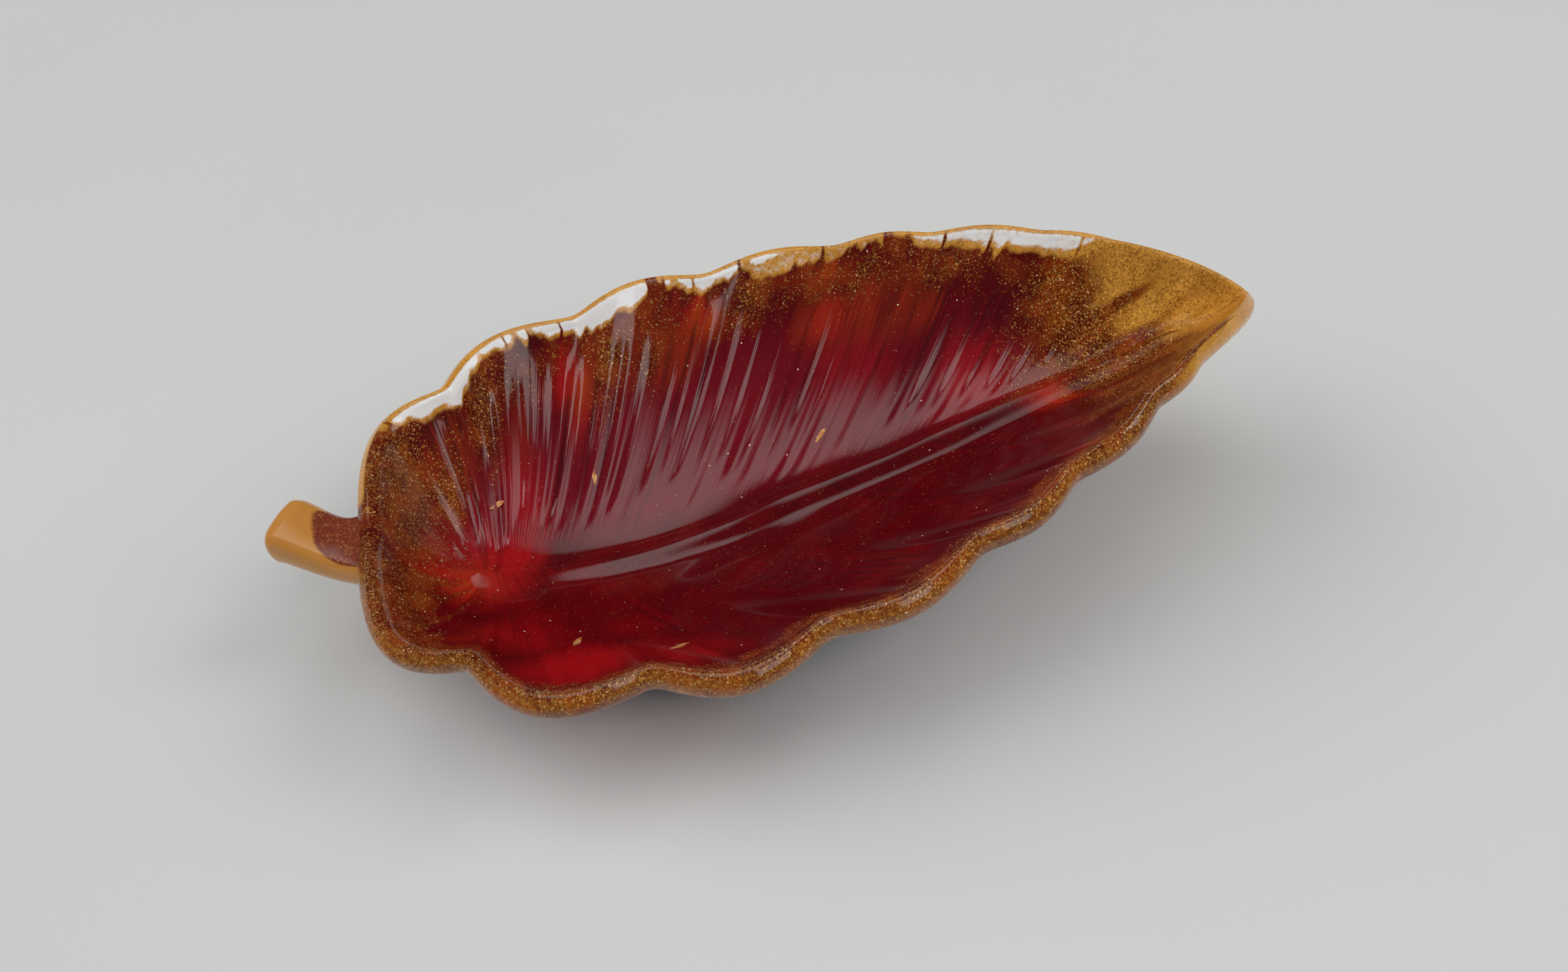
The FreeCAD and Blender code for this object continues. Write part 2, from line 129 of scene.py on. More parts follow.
def rimHeight(p):
    # the rim climbs as a smooth hump that peaks before the tip, and dips at the stem
    x, y = notchLine(p)
    q = (x / (leaf["length"] - leaf["rimPeakBack"])) ** 3
    dip = leaf["stemDip"] * np.exp(-((y / leaf["stemDipReach"]) ** 2))
    return leaf["rimLow"] + leaf["rimRise"] * (1 - (1 - q) ** 2) - np.where(x > leaf["length"] / 2, 0, dip)


def ribFoot(p):
    # veins leave the midrib ever wider apart towards the tip
    x, y = notchLine(p)
    run = leaf["length"] - leaf["ribStart"] - leaf["ribEnd"] - leaf["veinStep"]
    return leaf["ribStart"] + run * (x / leaf["length"]) ** 2 + leaf["veinStep"] * p


def floorHeight(x):
    # the floor climbs from its lowest station by a power to the stem,
    # and evenly to the groove's end at the tip
    d = x - leaf["floorLowAt"]
    toStem = leaf["floorRise"] * (np.maximum(-d, 0) / leaf["floorLowAt"]) ** leaf["floorPower"]
    end = ribFoot(1.0) - leaf["floorLowAt"]
    climb = rimHeight(1.0) - leaf["innerEdge"] - leaf["tipDepth"] - leaf["floorLow"]
    up = np.maximum(d, 0)
    toTip = climb * (up * up / (up + leaf["floorEase"])) * (end + leaf["floorEase"]) / (end * end)
    return leaf["floorLow"] + toStem + toTip


def wallPoint(p, s):
    # inner face along a vein, from the midrib (s = 0) to the inner rim edge (s = 1):
    # height goes as a power of s
    x, y = shifted(p, lobeAt(p) * s - leaf["rimThickness"])
    foot = ribFoot(p)
    low = floorHeight(foot)
    z = low + (rimHeight(p) - leaf["innerEdge"] - low) * s ** leaf["wallBow"]
    across = np.minimum(1, y * s / leaf["ribHalfWidth"])
    z = z + leaf["ribHeight"] * (1 - across ** 2) ** 2 * (1 - s)
    return np.stack([foot + (x - foot) * s, y * s, z], -1)


def rimPoint(p, inward, drop):
    # the rim's section, set in from the outline and down from the crest
    x, y = shifted(p, lobeAt(p) - inward)
    return np.stack([x, y, rimHeight(p) - drop], -1)


def basePoint(p):
    # flat base: the outline drawn in towards its widest station
    x, y = notchLine(p)
    widest = leaf["length"] * peakShare
    toStem, toTip = leaf["baseStemReach"] / widest, leaf["baseTipReach"] / (leaf["length"] - widest)
    x = widest + np.where(x < widest, toStem, toTip) * (x - widest)
    return np.stack([x, y * leaf["baseHalfWidth"] / leaf["halfWidth"], 0 * x], -1)


def throughPoints(corners, count):
    # smooth line through the corners (Catmull-Rom), count steps on each span
    corners = np.array(corners, float)
    c = np.vstack([2 * corners[0] - corners[1], corners, 2 * corners[-1] - corners[-2]])
    t = np.linspace(0, 1, count, endpoint=False)[:, None]
    spans = [0.5 * (2 * b + (d - a) * t + (2 * a - 5 * b + 4 * d - e) * t ** 2
                    + (3 * b - a - 3 * d + e) * t ** 3)
             for a, b, d, e in zip(c, c[1:], c[2:], c[3:])]
    return np.vstack(spans + [corners[-1:]])


# Skin of the leaf: rows run from the midrib over the wall and the rim down to the base,
# columns along the sweep.
skin = dict(
    columns=470, floorRows=46, upperRows=16, beadRows=8, rimSteps=4, lipRows=5, skirtRows=14, slabRows=4,
    evenTo=0.98, tipSweeps=(0.985, 0.99, 0.995, 1.0),      # closer columns at the tip
    leastFloor=0.12, leastUpper=0.05,                      # red floor that runs on in the groove of the tip
    tuckDepth=1.4, tuckReach=6.0, climbStep=0.05,
    crest=((3.6, 1.2), (2.74, 0.42), (1.8, 0.0), (0.79, 0.5), (0.0, 1.38), (0.1, 3.0), (1.5, 4.2)),
)
sweeps = np.append(np.linspace(0, skin["evenTo"], skin["columns"] + 1), skin["tipSweeps"])

# Feather barbs of the far wall; heights and widths in millimetres, feet and fades as shares of the way.
barbs = dict(
    perLobe=(3, 6, 6, 5, 5, 4, 3, 4), height=0.95, leastTall=0.25, seed=21,
    broadFace=0.66, faceSpread=0.2, turned=0.2, turnedTall=-0.6,      # one in five leans the other way
    footStart=0.13, footSpread=0.16, footBow=0.09, footEase=0.1,
    fineHeight=0.09, fineMm=1.0, meanWidth=4.2, fineSeed=5, soften=7,
    fade=(0.78, 0.97), stemFade=(0.02, 0.1), tipFade=(0.86, 0.97), lowByStem=(0.12, 0.24), lowTall=0.25,
)


def barbRelief(p, s):
    # a broad and a steep face each, with its own height and rounded foot, edges softened along the sweep
    bounds = np.cumsum((0,) + barbs["perLobe"])
    phase = np.interp(p, notchSweeps, bounds)
    k = np.minimum(np.floor(phase).astype(int), bounds[-1] - 1)
    f = phase - k
    dice = np.random.default_rng(barbs["seed"]).random((4, bounds[-1]))
    tall = barbs["leastTall"] + (1 - barbs["leastTall"]) * dice[0][k]
    start = barbs["footStart"] + barbs["footSpread"] * dice[1][k]
    broad = barbs["broadFace"] + barbs["faceSpread"] * (dice[2][k] - 0.5)
    face = np.where(f < broad, f / broad, (1 - f) / (1 - broad)) - 0.5
    face = face * np.where(dice[3][k] < barbs["turned"], barbs["turnedTall"], 1)
    fine = drift(phase * barbs["meanWidth"] / barbs["fineMm"], s * 2, barbs["fineSeed"]) - 0.5
    foot = eased(0, barbs["footEase"], s - start - barbs["footBow"] * (2 * f - 1) ** 2)
    low = barbs["lowTall"] + (1 - barbs["lowTall"]) * eased(*barbs["lowByStem"], p)
    ends = (1 - eased(*barbs["fade"], s)) * low
    ends = ends * eased(*barbs["stemFade"], p) * (1 - eased(*barbs["tipFade"], p))
    relief = (barbs["height"] * tall * face + barbs["fineHeight"] * fine) * foot * ends
    kernel = np.hanning(barbs["soften"] + 2)
    pad = len(kernel) // 2
    wide = np.pad(relief, ((0, 0), (pad, pad)), mode="edge")
    shifts = [wide[:, i:i + relief.shape[1]] * weight for i, weight in enumerate(kernel / kernel.sum())]
    return sum(shifts)


# Slow waves beside the midrib, where the mould was not dead even; they grow on the near side.
waves = dict(
    height=0.8, nearMore=1.0, nearEase=4.0, alongMm=9.0, acrossMm=7.0, acrossStart=40, reach=9.0, seed=23,
)


def waveRelief(x, y, side):
    # drift that fades from the midrib as a bell curve
    across = y * side / waves["acrossMm"] + waves["acrossStart"]
    swell = drift(x / waves["alongMm"], across, waves["seed"]) - 0.5
    swell = swell * (waves["height"] + (side < 0) * waves["nearMore"] * eased(0, waves["nearEase"], y))
    return swell * np.exp(-((y / waves["reach"]) ** 2))


def skinHalf(side):
    # one half: the wall by its way up, split at the red and clear borders, then the rim's section,
    # then straight lines from the lip to the base, split at the levels of the pours
    p = sweeps[None, :]
    low = floorHeight(ribFoot(p))
    tall = rimHeight(p) - leaf["innerEdge"] - low
    border = np.clip((leaf["rimLevel"] - low) / tall, 0, 1) ** (1 / leaf["wallBow"])
    border = np.maximum(border, skin["leastFloor"])
    clear = np.clip((tall + leaf["innerEdge"] - leaf["clearDepth"]) / tall, 0, 1) ** (1 / leaf["wallBow"])
    clear = np.maximum(clear, border + skin["leastUpper"])
    floorShare = np.linspace(0, 1, skin["floorRows"])[:, None]
    upperShare = np.linspace(0, 1, skin["upperRows"] + 1)[1:, None]
    beadShare = np.linspace(0, 1, skin["beadRows"] + 1)[1:, None]
    s = np.vstack([floorShare * border, border + (clear - border) * upperShare,
                   clear + (1 - clear) * beadShare])
    wall = wallPoint(p, s)
    normal = np.cross(np.gradient(wall, axis=1), np.gradient(wall, axis=0))
    normal /= np.maximum(np.linalg.norm(normal, axis=-1, keepdims=True), 1e-9)
    normal *= np.sign(normal[..., 2:] + 1e-9)
    if side > 0:
        wall = wall + normal * barbRelief(p + 0 * s, s)[..., None]
    wall[..., 2] += waveRelief(wall[..., 0], wall[..., 1], side) * (1 - s)
    crest = throughPoints(skin["crest"], skin["rimSteps"])[1:]
    rim = rimPoint(p, crest[:, :1], crest[:, 1:])
    top, foot = rim[-1], basePoint(sweeps)
    levels = [(top[:, 2] - z) / top[:, 2] for z in (leaf["rimLevel"], leaf["baseLevel"], 0)]
    shares, start = [], 0 * top[:, 2]
    for end, count in zip(levels, (skin["lipRows"], skin["skirtRows"], skin["slabRows"])):
        shares.append(start + (end - start) * np.linspace(0, 1, count + 1)[1:, None])
        start = end
    share = np.vstack(shares)[..., None]
    skirt = top + (foot - top) * share
    points = np.concatenate([wall, rim, skirt])
    ends = (p <= 0) | (p >= 1)
    points[..., 1] = np.where(ends, 0, points[..., 1]) * side
    facing = np.cross(np.gradient(points, axis=1), np.gradient(points, axis=0)) * side
    facing *= np.sign(np.median(facing[:len(s), :, 2]))
    facing[:, [0, -1], 1] = 0
    facing[0, :, 1] = 0
    facing /= np.maximum(np.linalg.norm(facing, axis=-1, keepdims=True), 1e-12)
    # climb is the way up the wall, and runs on past 1 beyond the inner rim edge
    beyond = np.arange(1, len(points) - len(s) + 1)[:, None] * skin["climbStep"]
    climb = np.vstack([s, 1 + beyond + 0 * p])
    inward = np.vstack([leaf["rimThickness"] + 0 * s, crest[:, :1] + 0 * p, -1 + 0 * share[..., 0]])
    drop = rimHeight(p) - points[..., 2]
    return dict(points=points, facing=facing, climb=climb, inward=inward, sweep=p + 0 * climb, drop=drop)


rows = dict(border=skin["floorRows"] - 1)
rows["clear"] = rows["border"] + skin["upperRows"]
rows["edge"] = rows["clear"] + skin["beadRows"]
rows["rimEnd"] = rows["edge"] + (len(skin["crest"]) - 1) * skin["rimSteps"]
rows["level"] = rows["rimEnd"] + skin["lipRows"]
rows["slab"] = rows["level"] + skin["skirtRows"]
rows["bottom"] = rows["slab"] + skin["slabRows"]
tipColumn = int(np.searchsorted(notchLine(sweeps)[0], leaf["length"] - leaf["tipSpan"]))

# Pigment: where the colours ran in the mould, in millimetres; the glow and orange spots among them are
# painted glow, where light comes through thin resin. Wall spots of the far side are (station of the rim,
# drop below it, reach along, reach down, strength); floor spots are (station, across, reach along,
# reach across, strength). Edges are (station of the rim, width).
pigment = dict(
    clearEdge=((4, -0.5), (9, 1.4), (15, 2.5), (18.5, 1.4), (26, 0.9), (36, 1.5), (42, 3.0), (44, 2.1),
               (49, 1.8), (51.5, -1.0), (54, 0.8), (62, 1.7), (69, 0.9), (76, -0.6), (93, -0.4), (98, 1.5),
               (106, 2.4), (117, 2.2), (123, -0.8)),
    tanWidth=((0, 0.3), (66, 0.5), (73, 2.6), (86, 1.4), (96, 0.7), (118, 0.8), (126, 3.0)),
    farGold=((4, 4, 6, 7, 1.0), (9, 10.5, 4, 3, 0.8), (19.3, 5, 3.5, 5, 0.9), (45, 7, 4, 4.5, 0.9),
             (53, 9, 3, 3, 0.5), (70, 4.5, 4, 3, 0.9), (82, 4, 5, 3, 0.75), (89, 5.6, 4, 3.5, 0.9),
             (101, 4, 6, 3, 0.9), (117, 6, 7, 6, 0.9), (124, 8, 7, 7, 1.0)),
    farDark=((12, 4.8, 5, 2.6, 1.0), (29, 3, 4.5, 1.8, 0.9), (35, 2.5, 2, 3, 0.9), (46.5, 3.3, 2, 1.5, 0.8),
             (56, 2.5, 4, 2.5, 0.6), (74, 6.5, 2.5, 3, 0.6), (88, 1.2, 2, 1.6, 0.9), (92, 8.5, 7, 4, 0.8),
             (111, 9.5, 5, 4.5, 1.0), (114, 3.8, 4, 1.6, 0.7), (126, 2.6, 0.7, 1.8, 0.9),
             (129.3, 2.7, 0.7, 1.5, 0.9)),
    farGlow=((35.5, 6.5, 4, 2.6, 1.0), (60, 4.2, 3, 2, 0.9), (86, 9.2, 4, 2.5, 0.9), (40, 11, 5, 2.5, 0.5)),
    farOrangeGlow=((39.5, 8, 3, 3, 1.0), (62, 5.6, 3.5, 2.5, 1.0), (82, 3.6, 5, 2, 0.9), (101, 3.4, 5, 1.8, 0.7)),
    floorGlow=((12, 0, 6, 6, 1.0), (16, 4, 8, 6, 0.8), (22, 12, 4, 9, 0.6), (98, 8, 6, 5, 0.8),
               (109, -1, 5, 3, 1.0), (18, -18, 6, 6, 0.4), (28, -29, 9, 7, 0.65), (40, -32, 9, 6, 0.5),
               (79, 19, 6, 5, 0.4)),
    floorOrangeGlow=((108, -1.5, 3, 2, 0.8), (12, -1, 4, 4, 0.6)),
    floorDark=((60, -17, 16, 12, 0.6), (75, -26, 16, 10, 0.7), (92, -15, 14, 10, 0.6), (92, 13, 6, 6, 0.4)),
    runWidth=6.5, veinWay=0.75, lipStart=6,
    redRun=dict(station=103, near=3.2, slant=0.21, half=1.9, waver=1.2),      # red drawn out along the groove
    fringeBack=0.3, fringeRagged=1.4, tanRagged=0.6, dripLong=1.8, dripDraw=(0.84, 0.96),
    # shares of the drift that turn to brick, shade or streak, and of the way up that is combed
    brickShare=0.42, brickDraw=(0.06, 0.28), shadeDraw=(0.14, 0.4), streakDraw=(0.0, 0.3),
    combFoot=(0.1, 0.25), combTop=(0.85, 0.97),
)
# Where one colour eases into the next, in millimetres, from the first number to the second.
borders = dict(
    far=(-1.5, 1.5), band=(10, 4), nearRim=(3.6, 1.4), nearBead=(2.8, 1.5), stemRun=(4, 9), stemMica=(4, 12),
    tipMica=(106, 117), redStart=(92, 104), redEnd=(120, 133), below=(-2, 2),
    tipAmber=(120, 131), tipFar=(-3, 3), tipPoint=(127, 135), lip=(1.9, 0.9), lipTip=(114, 124),
    lipStem=(4, 8), clear=(-0.35, 0.35), crest=(2.1, 2.8), clearStart=(3, 7), clearFade=(84, 98),
    tan=(-0.8, 0.5), tanEnd=(118, 126), shadeTop=(4, 12), streakTop=(3, 8), streakFoot=(24, 14),
    brickTop=(2, 4), brickFoot=(15, 9), calmTip=(104, 113),
)
# Drift in the colours: size along and down in millimetres, and a seed.
flows = dict(
    streak=(1.3, 16, 3), broad=(7, 9, 8), along=(18, 1.4, 17), fringe=(1.1, 1, 11), drips=(0.55, 9, 13),
)


def spotField(spots, u, v):
    # soft spots: each falls off as a bell curve from its middle
    bells = [strength * np.exp(-(((u - a) / ra) ** 2 + ((v - b) / rb) ** 2))
             for a, b, ra, rb, strength in spots]
    return np.max(bells, axis=0)


def past(border, value):
    # how far a value is over one of those borders, from 0 to 1
    return eased(*borders[border], value)


def flow(name, u, v):
    # one of those drifts at places in millimetres
    along, down, seed = flows[name]
    return drift(u / along, v / down, seed)


def pigmentFields(half, side):
    # colour shares of one half, worked out from station, drop below the rim and drift
    p, drop, climb, inward = half["sweep"], half["drop"], half["climb"], half["inward"]
    x, y, z = (half["points"][..., k] for k in range(3))
    rim = notchLine(p)[0]
    middle = wallPoint(sweeps, pigment["veinWay"] + 0 * sweeps)
    steps = np.linalg.norm(np.diff(middle, axis=0), axis=1)
    arc = np.concatenate([[0], np.cumsum(steps)])[None, :] * side + 0 * p
    streak = flow("streak", arc, drop) - 0.5
    broad = flow("broad", arc, drop) - 0.5
    along = flow("along", x, y) - 0.5
    far = past("far", y)
    inside = climb <= 1.0
    outside = inward < -0.5
    u = rim + 1.5 * streak + 2 * broad
    v = drop + 2.5 * streak + 1.5 * broad
    deep = far * spotField(pigment["farDark"], u, v)
    # painted glow on the far wall, in red and in orange, where light comes through thin resin
    farGlow = far * spotField(pigment["farGlow"], u, v)
    farOrangeGlow = far * spotField(pigment["farOrangeGlow"], u, v)

    # mica: a band under the far rim, the near rim, the stem end, and the tip with streaks along the groove
    bare = (1 - 0.85 * deep) * (1 - 0.7 * np.maximum(farGlow, farOrangeGlow))
    gold = far * np.maximum(0.34 * past("band", v), spotField(pigment["farGold"], u, v)) * bare
    nearBand = (1 - far) * past("nearRim", drop + 3 * broad + 1.5 * streak)
    nearBand = nearBand * (0.5 + 0.5 * past("nearBead", inward))
    stemRun = np.exp(-((y / pigment["runWidth"]) ** 2)) * (1 - past("stemRun", x))
    stemEnd = (0.8 + 0.8 * broad) * (1 - past("stemMica", x + 6 * broad + 3 * streak))
    stemEnd = stemEnd * (1 - 0.9 * deep) * (1 - 0.6 * stemRun)
    tip = past("tipMica", x + 7 * broad) * (0.8 + 0.9 * along)
    run = pigment["redRun"]
    groove = (y + run["near"] + run["slant"] * (x - run["station"])) / (run["half"] + run["waver"] * along)
    redRun = np.exp(-groove ** 2) * past("redStart", x) * (1 - past("redEnd", x))
    mica = np.maximum.reduce([gold, nearBand, stemEnd, tip]) * (1 - 0.9 * redRun * inside)
    below = past("below", z - leaf["rimLevel"] + 4 * broad)
    mica = np.where(outside, 0.5 * below, mica)

    # amber: the tip, the outer lip and the tan fringe under the clear edge
    tipShare = 0.3 + 0.7 * np.maximum(past("tipFar", y), past("tipPoint", x))
    tipAmber = past("tipAmber", x + 0.35 * y + 9 * along + 4 * broad) * tipShare
    lipShare = 0.3 + 0.7 * np.maximum(far, past("lipTip", x))
    lipAmber = past("lip", inward) * lipShare * np.where(outside, 0.8 * below, 1)
    lipAmber = lipAmber * past("lipStem", np.abs(y) + np.maximum(x - pigment["lipStart"], 0))
    fringe = np.interp(rim, *zip(*pigment["clearEdge"])) - pigment["fringeBack"]
    fringe = fringe + pigment["fringeRagged"] * (flow("fringe", arc, 0 * arc) - 0.5) + broad
    drips = pigment["dripLong"] * eased(*pigment["dripDraw"], flow("drips", arc, drop))
    crest = past("crest", inward)
    # clear: where the clear edge is painted near white for the lit board seen through it
    clear = far * past("clear", fringe - drips - drop) * crest * past("clearStart", rim)
    tanEdge = fringe + np.interp(rim, *zip(*pigment["tanWidth"])) + pigment["tanRagged"] * streak
    tan = far * past("tan", tanEdge - drips - drop) * ~outside
    amber = np.maximum.reduce([tipAmber * (1 - 0.9 * redRun), lipAmber, 0.85 * tan])
    clear = np.maximum(clear, 0.32 * tan * crest * (1 - past("tanEnd", rim)))
    clear = clear * (1 - past("clearFade", rim) * (0.22 + 0.3 * np.abs(broad)))

    # tone of the red: painted glow where light comes through thin resin, orange (painted glow in spots,
    # the pour's own brick in a wash) and darkening in streaks
    glow = np.maximum(spotField(pigment["floorGlow"], x, y), farGlow)
    glow = glow * (1 + streak) + 0.3 * broad
    brick = pigment["brickShare"] * far * eased(*pigment["brickDraw"], broad)
    brick = brick * past("brickFoot", drop) * past("brickTop", drop)
    streaked = 0.85 * far * eased(*pigment["streakDraw"], streak)
    streaked = streaked * past("streakTop", drop) * past("streakFoot", drop)
    # orange: the painted glow spots, and the brick wash that is the pour's own colour
    orange = np.maximum.reduce([spotField(pigment["floorOrangeGlow"], x, y), farOrangeGlow, brick])
    dark = np.maximum.reduce([
        spotField(pigment["floorDark"], x, y) * (0.8 + 0.9 * broad), deep, 0.6 * redRun, 0.5 * stemRun,
        0.6 * eased(*pigment["shadeDraw"], streak) * past("shadeTop", drop), streaked])
    half["pigment"] = np.clip(np.stack([mica, amber, clear], -1), 0, 1)
    half["tone"] = np.clip(np.stack([glow, orange * (1 + streak), dark], -1), 0, 1)

    # vein map: arc and drop in metres, then above 0 on the combed far wall and below 0 on the calm near wall
    combed = (2 * far - 1) * eased(*pigment["combFoot"], climb) * (1 - eased(*pigment["combTop"], climb))
    calmTip = past("calmTip", x)
    combed = combed * (1 - calmTip) - calmTip * inside
    half["vein"] = np.stack([arc * mm, drop * mm, combed], -1)


farHalf, nearHalf = skinHalf(1), skinHalf(-1)
pigmentFields(farHalf, 1)
pigmentFields(nearHalf, -1)
print("leaf skin:", farHalf["points"].shape, "tip column", tipColumn)


def placed(points):
    # stations in millimetres to metres about the dish's own origin
    return (points - np.array([originStation, 0, 0])) * mm


def gridFaces(rowCount, columnCount, loopRows=False, loopColumns=False):
    # quads between neighbouring rows and columns, as whole index arrays
    r = np.arange(rowCount if loopRows else rowCount - 1)
    c = np.arange(columnCount if loopColumns else columnCount - 1)
    r, c = np.meshgrid(r, c, indexing="ij")
    r2, c2 = (r + 1) % rowCount, (c + 1) % columnCount
    quads = [r * columnCount + c, r * columnCount + c2, r2 * columnCount + c2, r2 * columnCount + c]
    return np.stack(quads, -1).reshape(-1, 4).tolist()


weldDistance = 1e-8
sharpAngle = math.radians(55)


def addPiece(name, points, faces, fields, nodes, material):
    # points in metres as rows by columns; welds the seams, turns the faces outwards and rides on the dish
    mesh = bpy.data.meshes.new(name)
    mesh.from_pydata(points.reshape(-1, 3).tolist(), [], faces)
    for label, values in fields.items():
        layer = mesh.attributes.new(label, "FLOAT_VECTOR", "POINT")
        layer.data.foreach_set("vector", np.ascontiguousarray(values, np.float32).ravel())
    work = bmesh.new()
    work.from_mesh(mesh)
    bmesh.ops.remove_doubles(work, verts=work.verts, dist=weldDistance)
    bmesh.ops.recalc_face_normals(work, faces=work.faces)
    work.to_mesh(mesh)
    openEdges = sum(1 for edge in work.edges if not edge.is_manifold)
    work.free()
    mesh.shade_smooth()
    if "facing" in fields:
        normals = np.empty(len(mesh.vertices) * 3, np.float32)
        mesh.attributes["facing"].data.foreach_get("vector", normals)
        mesh.attributes.remove(mesh.attributes["facing"])
        mesh.normals_split_custom_set_from_vertices(normals.reshape(-1, 3).tolist())
    else:
        mesh.set_sharp_from_angle(angle=sharpAngle)
    piece = bpy.data.objects.new(name, mesh)
    bpy.context.scene.collection.objects.link(piece)
    mesh.materials.append(material)
    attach(piece, "root")
    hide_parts(*nodes)
    print("piece:", name, len(mesh.polygons), "faces,", openEdges, "open edges")


fieldNames = ("pigment", "tone", "vein", "facing")


def ringOf(label, row):
    # one row of the skin, right round the leaf: far side out to the tip, near side back to the stem
    return np.concatenate([farSkin[label][row], nearSkin[label][row][:, -2:0:-1]], axis=1)


def midline(ring, z):
    # the row under the midrib that closes a level face
    line = ring[-1:].copy()
    line[..., 1], line[..., 2] = 0, z
    return line


def pourRing(name, nodes, material, rowParts, closings):
    # a pour that goes right round the leaf, closed along the midline above and below
    fields = {label: np.concatenate([ringOf(label, part) for part in rowParts]) for label in fieldNames}
    points = np.concatenate([ringOf("points", part) for part in rowParts])
    for where, z in closings:
        line = midline(points, z)
        order = (line, points) if where == "first" else (points, line)
        points = np.concatenate(order)
        for label, values in fields.items():
            extra = values[:1] if where == "first" else values[-1:]
            fields[label] = np.concatenate((extra, values) if where == "first" else (values, extra))
    faces = gridFaces(*points.shape[:2], loopColumns=True)
    addPiece(name, placed(points), faces, fields, nodes, material)


def pourRun(name, nodes, material, strips):
    # a pour along part of the rim: its section is a closed loop of rows, and both ends are capped
    points = np.concatenate([strip["points"] for strip in strips], axis=1)
    fields = {label: np.concatenate([strip[label] for strip in strips], axis=1) for label in fieldNames}
    rowCount, columnCount = points.shape[:2]
    faces = gridFaces(rowCount, columnCount, loopRows=True)
    loop = np.arange(rowCount) * columnCount
    faces += [loop.tolist(), (loop + columnCount - 1).tolist()]
    addPiece(name, placed(points), faces, fields, nodes, material)


def strip(half, rowList, columnList):
    # the rows and columns of the skin that one pour shows
    return {label: half[label][np.ix_(rowList, columnList)] for label in ("points",) + fieldNames}


def tucked(half):
    # the border row again, sunk near the midrib so that the joint stays under the groove there
    border = slice(rows["border"], rows["border"] + 1)
    extra = {label: half[label][border].copy() for label in ("points",) + fieldNames}
    across = extra["points"][..., 1]
    extra["points"][..., 2] -= skin["tuckDepth"] * np.exp(-((across / skin["tuckReach"]) ** 2))
    return {label: np.concatenate([half[label], row]) for label, row in extra.items()}


def hexColour(text):
    # sRGB hex to linear
    values = [int(text[k:k + 2], 16) / 255 for k in (1, 3, 5)]
    return [v / 12.92 if v <= 0.04045 else ((v + 0.055) / 1.055) ** 2.4 for v in values] + [1.0]


def addNode(tree, kind, inputs=None, **settings):
    # adds a shader node, sets or links its inputs and hands back its outputs
    made = tree.nodes.new("ShaderNode" + kind)
    for name, value in settings.items():
        setattr(made, name, value)
    for key, value in (inputs or {}).items():
        if isinstance(value, bpy.types.NodeSocket):
            tree.links.new(value, made.inputs[key])
        else:
            made.inputs[key].default_value = value
    return made.outputs


# settings that many nodes share
mixed = dict(data_type="RGBA")
soft = dict(interpolation_type="SMOOTHSTEP")
times = dict(operation="MULTIPLY")
timesPlus = dict(operation="MULTIPLY_ADD")
minus = dict(operation="SUBTRACT")
resinIor = 1.52


def newMaterial(name):
    # a material whose node tree is still empty, and addNode for that tree
    material = bpy.data.materials.new(name)
    material.use_nodes = True
    material.node_tree.nodes.clear()
    return material, partial(addNode, material.node_tree)


# Cast epoxy, poured in colours: deep red with gold mica sunk in it, under a skin as bright as the mould.
# The eye gets a red with painted glow and a painted reflection low on the far wall, that darkens in
# streaks, glitter that thins out into it with painted glints, a clear edge painted near white for the
# lit board seen through it, and sharp reflections.
epoxy = dict(
    # brightRed is painted glow, and rose is a painted reflection of the light overhead
    crimson="#54030A", rose="#8A1226", brightRed="#A81016", orange="#B03A14", maroon="#38070D",
    # micaGlint is the pale colour of painted glints on the brightest flakes
    micaUnder="#5A1208", rust="#8A340C", micaBrown="#884216", micaGold="#C68838", micaGlint="#F2CC88",
    # clear is painted near white: painted light from the lit board seen through the clear resin
    amber="#E2A040", amberDeep="#CE8E34", clear="#FBFAF8", speck="#F2E4C8",
    flakeMm=0.2,                                           # mica drawn coarser than real, so that it shows
    driftMm=6.0, patchMm=4.5, grainMm=0.9, streakMm=0.8, combMm=0.5, speckMm=3.4,
    streakPull=0.07, combPull=0.03, combDeepMm=0.08,       # both are drawn out down the wall
    # roseDrop and roseShare place that painted reflection down the far wall
    roseDrop=(5, 15), roseShare=0.45,                      # drop below the rim, in mm, where rose sets in
    roughness=0.16, coat=0.88, calmCoat=0.6, coatRoughness=0.07,
)


